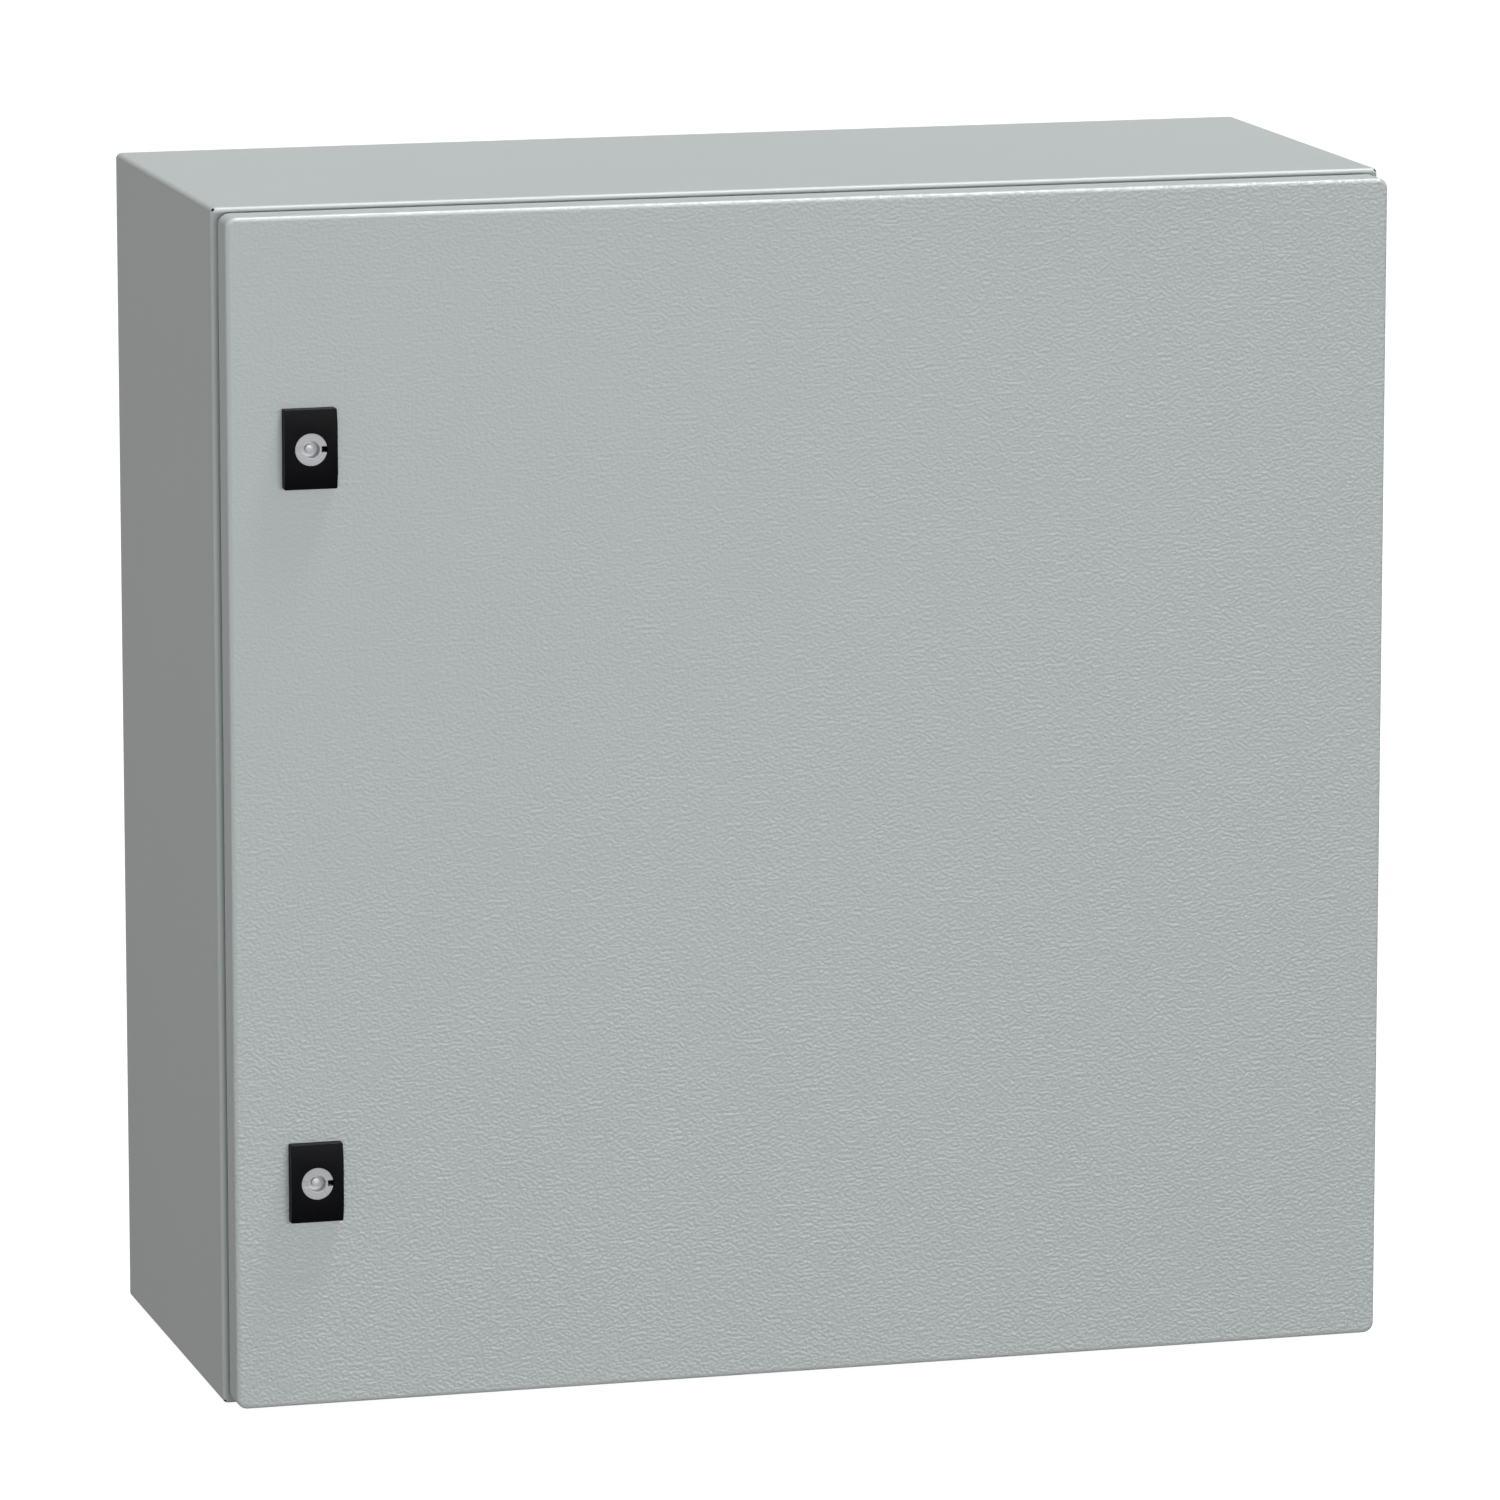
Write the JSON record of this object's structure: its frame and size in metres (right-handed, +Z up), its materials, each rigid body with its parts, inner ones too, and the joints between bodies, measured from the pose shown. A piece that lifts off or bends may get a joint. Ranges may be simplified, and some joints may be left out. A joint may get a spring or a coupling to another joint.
{
  "type": "wall-mounted electrical enclosure",
  "caption": "Square sheet steel switchboard enclosure for a wall, with a plain hinged door, quarter-turn locks, sealing gasket, mounting plate and gland plate.",
  "frame": {"origin": "under the middle of the outer box, on the plane of the base", "axes": "+Z up, -Y towards the person who opens the door, +Y into the wall, +X to that person's right"},
  "size_m": [0.6, 0.259, 0.6],
  "materials": {
    "paint": "light grey powder coat, nearly smooth, satin",
    "door_paint": "light grey powder coat with a leather-grain texture, satin",
    "galvanised_sheet": "hot-dip galvanised, fine spangle, dull",
    "zinc_plated_steel": "zinc plated, satin",
    "zinc_casting": "die-cast zinc, machined face, satin",
    "black_polyamide": "moulded black polyamide, fine texture, matt",
    "gasket_foam": "foamed-in-place polyurethane, dark grey, matt skin",
    "seal_rubber": "black nitrile rubber, matt"
  },
  "bodies": {
    "enclosure": {"body_wrapper": "paint", "back_panel": "paint", "mounting_plate": "galvanised_sheet", "plate_studs": "zinc_plated_steel", "plate_washers": "zinc_plated_steel", "plate_nuts": "zinc_plated_steel", "gland_plate": "paint", "gland_gasket": "gasket_foam", "gland_studs": "zinc_plated_steel", "gland_nuts": "zinc_plated_steel", "body_earth_stud": "zinc_plated_steel", "body_earth_nut": "zinc_plated_steel", "upper_hinge_body_leaf": "zinc_casting", "lower_hinge_body_leaf": "zinc_casting", "upper_hinge_pin": "zinc_plated_steel", "lower_hinge_pin": "zinc_plated_steel", "hinge_body_screws": "zinc_plated_steel"},
    "door": {"door_panel": "door_paint", "door_gasket": "gasket_foam", "door_stiffener_left": "paint", "door_stiffener_right": "paint", "upper_hinge_door_leaf": "zinc_casting", "lower_hinge_door_leaf": "zinc_casting", "hinge_door_studs": "zinc_plated_steel", "hinge_door_nuts": "zinc_plated_steel", "door_earth_stud": "zinc_plated_steel", "door_earth_nut": "zinc_plated_steel", "upper_lock_housing": "black_polyamide", "lower_lock_housing": "black_polyamide", "upper_lock_seal": "seal_rubber", "lower_lock_seal": "seal_rubber", "upper_lock_nut": "zinc_plated_steel", "lower_lock_nut": "zinc_plated_steel"},
    "upper_lock": {"upper_lock_insert": "zinc_casting", "upper_lock_o_ring": "seal_rubber", "upper_lock_cam": "zinc_plated_steel", "upper_cam_screw": "zinc_plated_steel"},
    "lower_lock": {"lower_lock_insert": "zinc_casting", "lower_lock_o_ring": "seal_rubber", "lower_lock_cam": "zinc_plated_steel", "lower_cam_screw": "zinc_plated_steel"}
  },
  "joints": [
    {"name": "door_hinge", "type": "hinge", "parent": "enclosure", "child": "door", "pos_m": [0.292, -0.112, 0.3], "axis": [0, 0, 1], "range_deg": [0, 120]},
    {"name": "upper_lock_turn", "type": "hinge", "parent": "door", "child": "upper_lock", "pos_m": [-0.2575, -0.1105, 0.4835], "axis": [0, 1, 0], "range_deg": [0, 90]},
    {"name": "lower_lock_turn", "type": "hinge", "parent": "door", "child": "lower_lock", "pos_m": [-0.2575, -0.1105, 0.1165], "axis": [0, 1, 0], "range_deg": [0, 90]}
  ]
}
